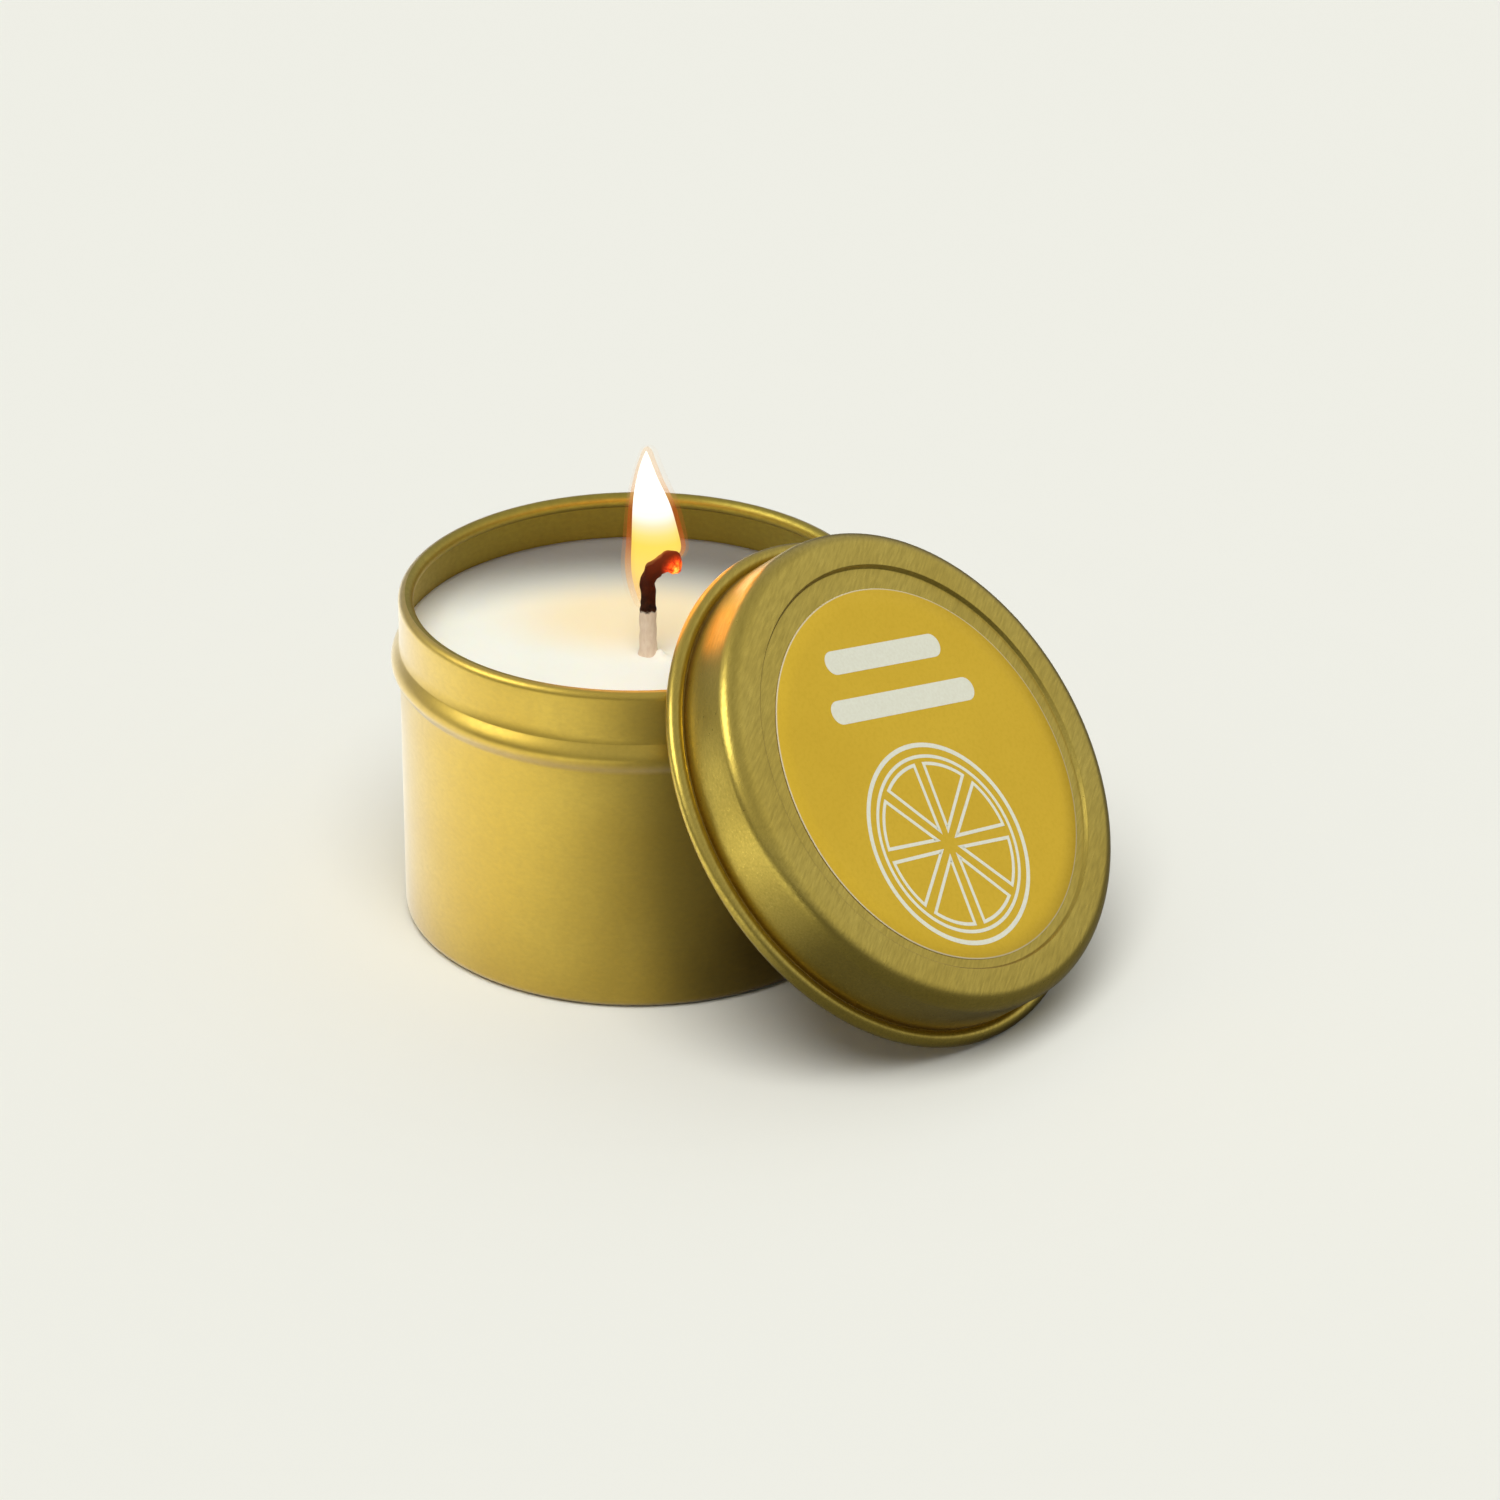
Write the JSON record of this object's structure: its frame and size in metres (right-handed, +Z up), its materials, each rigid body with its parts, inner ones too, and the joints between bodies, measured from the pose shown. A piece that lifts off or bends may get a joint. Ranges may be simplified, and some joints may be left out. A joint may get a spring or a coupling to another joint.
{
  "type": "candle tin",
  "caption": "Round gold-lacquered tin holding a poured candle with a hooked wick, its slip lid with a round sticker leaning on the rim.",
  "frame": {"origin": "centre of the tin's flat base, on the surface that it stands on", "axes": "+Z up along the tin's axis; the lid leans on the rim towards +X and -Y, and -Y is the side that the candle is seen from"},
  "size_m": [0.0937, 0.0875, 0.0574],
  "materials": {
    "tin_gold": "gold lacquer over satin tinplate",
    "lid_gold": "gold lacquer over finely brushed tinplate",
    "label_gold": "satin gold foil with pale line work",
    "wax": "smooth poured wax",
    "wick_cotton": "waxed braid, charred at the end",
    "tab_steel": "plain stamped tinplate",
    "pad_paper": "foam pad with adhesive"
  },
  "bodies": {
    "tin": {"tin_body": "tin_gold", "wax_fill": "wax", "wick": "wick_cotton", "wick_sustainer": "tab_steel", "wick_sticker": "pad_paper"},
    "lid": {"lid_shell": "lid_gold", "lid_label": "label_gold"}
  },
  "joints": [
    {"name": "lid_lift", "type": "slide", "parent": "tin", "child": "lid", "axis": [0, 0, 1], "range_m": [0, 0.06]}
  ]
}
